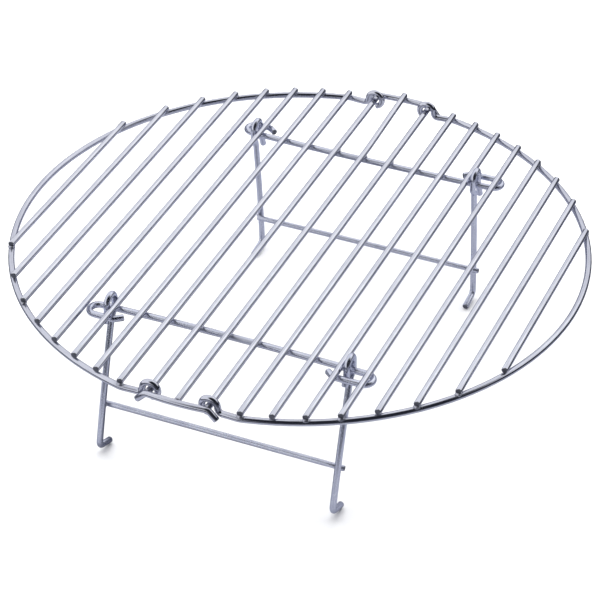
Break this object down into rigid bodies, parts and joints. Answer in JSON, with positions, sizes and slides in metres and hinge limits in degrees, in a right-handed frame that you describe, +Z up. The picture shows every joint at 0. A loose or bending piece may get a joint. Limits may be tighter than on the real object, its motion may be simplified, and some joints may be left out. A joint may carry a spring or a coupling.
{
  "type": "cooling rack",
  "caption": "Round folding wire rack for cooling bakes: parallel slats in a round rim, two wings that fold up on wire hinges, and two leg frames that swing in flat underneath.",
  "frame": {"origin": "on the floor under the middle of the round grid", "axes": "+X across the slats (along the cross wires), +Y along the slats to the back, +Z up"},
  "size_m": [0.33, 0.3331, 0.0978],
  "materials": {
    "slat_wire": "polished plated steel wire",
    "rim_wire": "polished plated steel wire",
    "leg_wire": "polished plated steel wire"
  },
  "bodies": {
    "grid": {"slat_hinge_left": "slat_wire", "slat_middle": "slat_wire", "slat_hinge_right": "slat_wire", "rim_mid_front": "rim_wire", "rim_mid_back": "rim_wire", "cross_wire_front": "leg_wire", "cross_wire_back": "leg_wire"},
    "left_wing": {"rim_left": "rim_wire", "slat_left_1": "slat_wire", "slat_left_2": "slat_wire", "slat_left_3": "slat_wire", "slat_left_4": "slat_wire", "slat_left_5": "slat_wire", "slat_left_6": "slat_wire", "slat_left_7": "slat_wire", "slat_left_8": "slat_wire"},
    "right_wing": {"rim_right": "rim_wire", "slat_right_1": "slat_wire", "slat_right_2": "slat_wire", "slat_right_3": "slat_wire", "slat_right_4": "slat_wire", "slat_right_5": "slat_wire", "slat_right_6": "slat_wire", "slat_right_7": "slat_wire", "slat_right_8": "slat_wire"},
    "front_legs": {"leg_front_left": "leg_wire", "leg_front_right": "leg_wire", "brace_front": "leg_wire"},
    "back_legs": {"leg_back_left": "leg_wire", "leg_back_right": "leg_wire", "brace_back": "leg_wire"}
  },
  "joints": [
    {"name": "left_wing_fold", "type": "hinge", "parent": "grid", "child": "left_wing", "pos_m": [-0.017, 0, 0.09108], "axis": [0, 1, 0], "range_deg": [0, 94]},
    {"name": "right_wing_fold", "type": "hinge", "parent": "grid", "child": "right_wing", "pos_m": [0.017, 0, 0.09108], "axis": [0, -1, 0], "range_deg": [0, 94]},
    {"name": "front_legs_fold", "type": "hinge", "parent": "grid", "child": "front_legs", "pos_m": [0, -0.0961, 0.08974], "axis": [1, 0, 0], "range_deg": [0, 95]},
    {"name": "back_legs_fold", "type": "hinge", "parent": "grid", "child": "back_legs", "pos_m": [0, 0.0961, 0.08974], "axis": [-1, 0, 0], "range_deg": [0, 90]}
  ]
}
